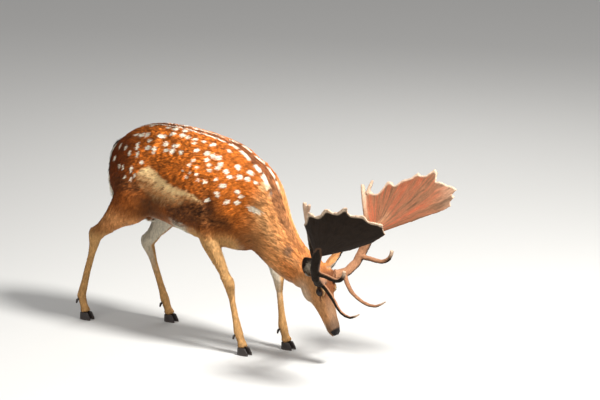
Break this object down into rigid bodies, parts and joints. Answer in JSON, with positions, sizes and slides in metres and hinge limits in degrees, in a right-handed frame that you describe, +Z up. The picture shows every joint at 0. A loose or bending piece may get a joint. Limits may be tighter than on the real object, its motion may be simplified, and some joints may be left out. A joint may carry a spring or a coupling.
{
  "type": "fallow deer model",
  "caption": "Still, life-size fallow buck in spotted summer coat, grazing with its head down, palmate antlers in velvet.",
  "frame": {"origin": "on the floor, under the middle of the whole animal's box", "axes": "+X ahead, from tail to nose; +Y the animal's left; +Z up"},
  "size_m": [1.7266, 0.6052, 0.8827],
  "materials": {
    "coat": "short glossy summer hair, rufous with white spots and pale belly",
    "dark_coat": "longer black-brown tail hair with a pale edge",
    "velvet": "furry pinkish tan antler velvet",
    "horn": "dark hoof horn, satin",
    "eye": "wet dark brown eye"
  },
  "bodies": {
    "root": {"antler_left_back_tine": "velvet", "antler_left_beam": "velvet", "antler_left_brow_tine": "velvet", "antler_left_palm": "velvet", "antler_left_trez_tine": "velvet", "antler_right_back_tine": "velvet", "antler_right_beam": "velvet", "antler_right_brow_tine": "velvet", "antler_right_palm": "velvet", "antler_right_trez_tine": "velvet", "dewclaw_fore_left_inner": "horn", "dewclaw_fore_left_outer": "horn", "dewclaw_fore_right_inner": "horn", "dewclaw_fore_right_outer": "horn", "dewclaw_hind_left_inner": "horn", "dewclaw_hind_left_outer": "horn", "dewclaw_hind_right_inner": "horn", "dewclaw_hind_right_outer": "horn", "ear_left": "coat", "ear_right": "coat", "eye_left": "eye", "eye_right": "eye", "foreleg_left_lower": "coat", "foreleg_left_upper": "coat", "foreleg_right_lower": "coat", "foreleg_right_upper": "coat", "head": "coat", "hindleg_left_lower": "coat", "hindleg_left_upper": "coat", "hindleg_right_lower": "coat", "hindleg_right_upper": "coat", "hoof_fore_left_inner": "horn", "hoof_fore_left_outer": "horn", "hoof_fore_right_inner": "horn", "hoof_fore_right_outer": "horn", "hoof_hind_left_inner": "horn", "hoof_hind_left_outer": "horn", "hoof_hind_right_inner": "horn", "hoof_hind_right_outer": "horn", "neck": "coat", "tail": "dark_coat", "trunk": "coat"}
  },
  "joints": []
}
